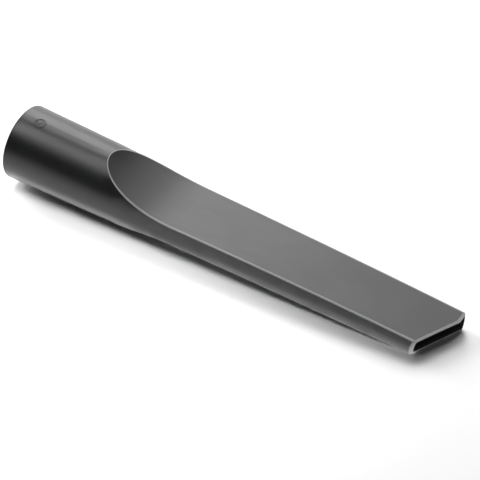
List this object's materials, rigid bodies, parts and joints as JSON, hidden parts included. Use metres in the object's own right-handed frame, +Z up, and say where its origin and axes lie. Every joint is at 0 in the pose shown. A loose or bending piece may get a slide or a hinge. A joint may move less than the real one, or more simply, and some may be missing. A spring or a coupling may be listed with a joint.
{
  "type": "flat vacuum nozzle",
  "caption": "One-piece crevice nozzle: a round push-on socket runs through two long scoops into a flat hollow blade with a skewed slot mouth, for suction in narrow gaps.",
  "frame": {"origin": "middle of the bounding box, on the surface it lies on", "axes": "+X from the socket towards the slot mouth, +Z up with the nozzle lying as it comes to rest, on the lower scoop's rim and the lower lip of the mouth; the tube's own axis dips 3.62 degrees towards the tip"},
  "size_m": [0.2432, 0.039, 0.0412],
  "materials": {
    "shell": "satin charcoal polypropylene, fine spark-eroded texture, as moulded"
  },
  "bodies": {
    "root": {"nozzle": "shell"}
  },
  "joints": []
}
